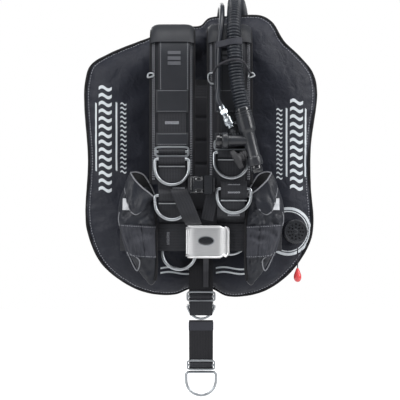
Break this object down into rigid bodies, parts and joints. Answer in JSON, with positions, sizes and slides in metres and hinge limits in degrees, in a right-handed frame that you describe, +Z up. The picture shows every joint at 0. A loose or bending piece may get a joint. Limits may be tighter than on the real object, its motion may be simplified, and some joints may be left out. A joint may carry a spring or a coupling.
{
  "type": "buoyancy compensator vest",
  "caption": "Back-inflating diving wing with a webbing harness, padded shoulders, cam buckles, weight pockets, corrugated inflator hose, dump valve and crotch strap.",
  "frame": {"origin": "centre of the flat rear face of the tank pad, where the tank rests", "axes": "+X to the wearer's left, +Y out of the tank pad towards the tank, +Z up towards the wearer's head"},
  "size_m": [0.4459, 0.3368, 0.7524],
  "materials": {
    "cordura": "coated nylon weave",
    "bladder_film": "satin polyurethane film",
    "binding": "woven tape",
    "webbing": "nylon webbing",
    "cord": "braided cord",
    "padding": "soft spacer fabric",
    "rubber": "matt moulded rubber",
    "plastic": "satin moulded nylon",
    "red_plastic": "gloss",
    "steel": "brushed",
    "chrome": "polished"
  },
  "bodies": {
    "root": {"wing_front_panel": "cordura", "wing_back_panel": "cordura", "wing_bladder": "bladder_film", "wing_edge_binding": "binding", "tank_pad": "rubber", "upper_tank_band": "webbing", "lower_tank_band": "webbing", "upper_tank_buckle": "plastic", "lower_tank_buckle": "plastic", "backplate": "steel", "back_pad": "padding", "shoulder_pad_right": "padding", "shoulder_webbing_right": "webbing", "shoulder_slide_right": "steel", "shoulder_pad_left": "padding", "shoulder_webbing_left": "webbing", "shoulder_slide_left": "steel", "chest_buckle_socket": "plastic", "chest_strap_right": "webbing", "diagonal_strap_right": "webbing", "diagonal_strap_left": "webbing", "waist_belt_right": "webbing", "waist_belt_left": "webbing", "waist_buckle_base": "steel", "pocket_right": "cordura", "pocket_left": "cordura", "crotch_strap": "webbing", "crotch_slide": "steel", "crotch_ring": "steel", "inflator_elbow": "plastic", "corrugated_hose": "rubber", "inflator_body": "plastic", "mouthpiece": "rubber", "coupling_body": "chrome", "low_pressure_hose": "rubber", "hose_end_fitting": "chrome", "dump_valve_seat": "plastic", "dump_valve_cap": "plastic"},
    "shoulder_ring_right": {"shoulder_ring_right": "steel"},
    "shoulder_ring_left": {"shoulder_ring_left": "steel"},
    "chest_ring_right": {"chest_ring_right": "steel"},
    "chest_ring_left": {"chest_ring_left": "steel"},
    "waist_ring_right": {"waist_ring_right": "steel"},
    "waist_ring_left": {"waist_ring_left": "steel"},
    "crotch_tail": {"crotch_tail": "webbing", "crotch_end_slide": "steel"},
    "crotch_end_ring": {"crotch_end_ring": "steel"},
    "waist_lever": {"waist_buckle_lever": "steel"},
    "upper_lever": {"upper_buckle_lever": "plastic"},
    "lower_lever": {"lower_buckle_lever": "plastic"},
    "inflate_button": {"inflate_button": "plastic"},
    "deflate_button": {"deflate_button": "plastic"},
    "coupling_sleeve": {"coupling_sleeve": "chrome"},
    "dump_pull": {"dump_pull_cord": "cord", "dump_pull_knob": "red_plastic"},
    "dump_poppet": {"dump_valve_poppet": "rubber"},
    "chest_plug": {"chest_buckle_plug": "plastic", "chest_strap_left": "webbing"}
  },
  "joints": [
    {"name": "shoulder_ring_right_swing", "type": "hinge", "parent": "root", "child": "shoulder_ring_right", "pos_m": [-0.052, -0.1054, -0.003], "axis": [-1, 0, 0], "range_deg": [0, 110]},
    {"name": "shoulder_ring_left_swing", "type": "hinge", "parent": "root", "child": "shoulder_ring_left", "pos_m": [0.0535, -0.1054, 0.009], "axis": [-1, 0, 0], "range_deg": [0, 4]},
    {"name": "chest_ring_right_swing", "type": "hinge", "parent": "root", "child": "chest_ring_right", "pos_m": [-0.052, -0.1054, -0.068], "axis": [-1, 0, 0], "range_deg": [0, 4]},
    {"name": "chest_ring_left_swing", "type": "hinge", "parent": "root", "child": "chest_ring_left", "pos_m": [0.0585, -0.1054, -0.056], "axis": [-1, 0, 0], "range_deg": [0, 110]},
    {"name": "waist_ring_right_swing", "type": "hinge", "parent": "root", "child": "waist_ring_right", "pos_m": [-0.04, -0.0674, -0.157], "axis": [1, 0, 0], "range_deg": [0, 30]},
    {"name": "waist_ring_left_swing", "type": "hinge", "parent": "root", "child": "waist_ring_left", "pos_m": [0.054, -0.0674, -0.132], "axis": [1, 0, 0], "range_deg": [0, 45]},
    {"name": "crotch_tail_swing", "type": "hinge", "parent": "root", "child": "crotch_tail", "pos_m": [0, -0.038, -0.297], "axis": [-1, 0, 0], "range_deg": [-30, 85]},
    {"name": "crotch_end_ring_swing", "type": "hinge", "parent": "crotch_tail", "child": "crotch_end_ring", "pos_m": [0, -0.038, -0.3968], "axis": [-1, 0, 0], "range_deg": [-80, 80]},
    {"name": "waist_lever_turn", "type": "hinge", "parent": "root", "child": "waist_lever", "pos_m": [-0.0245, -0.0801, -0.1515], "axis": [0, 0, -1], "range_deg": [0, 110]},
    {"name": "upper_lever_turn", "type": "hinge", "parent": "root", "child": "upper_lever", "pos_m": [-0.031, 0.1973, 0.115], "axis": [0, 0, 1], "range_deg": [0, 100]},
    {"name": "lower_lever_turn", "type": "hinge", "parent": "root", "child": "lower_lever", "pos_m": [-0.031, 0.1973, -0.115], "axis": [0, 0, 1], "range_deg": [0, 100]},
    {"name": "inflate_press", "type": "slide", "parent": "root", "child": "inflate_button", "axis": [1, 0, 0], "range_m": [0, 0.003], "stiffness_N_per_m": 600, "springref_m": -0.004},
    {"name": "deflate_press", "type": "slide", "parent": "root", "child": "deflate_button", "axis": [-0.2359, 0, 0.9718], "range_m": [0, 0.0035], "stiffness_N_per_m": 600, "springref_m": -0.004},
    {"name": "coupling_sleeve_pull", "type": "slide", "parent": "root", "child": "coupling_sleeve", "axis": [-0.4208, 0.1002, 0.9016], "range_m": [0, 0.005], "stiffness_N_per_m": 500, "springref_m": -0.004},
    {"name": "dump_pull_down", "type": "slide", "parent": "root", "child": "dump_pull", "axis": [0, 0, -1], "range_m": [0, 0.012], "stiffness_N_per_m": 250, "springref_m": -0.012},
    {"name": "dump_poppet_lift", "type": "slide", "parent": "root", "child": "dump_poppet", "axis": [0, 1, 0], "range_m": [0, 0.003]},
    {"name": "chest_plug_release", "type": "slide", "parent": "root", "child": "chest_plug", "axis": [-1, 0, 0], "range_m": [-0.022, 0]}
  ],
  "couplings": [
    {"joint": "dump_poppet_lift", "follows": "dump_pull_down", "ratio": 0.25}
  ]
}
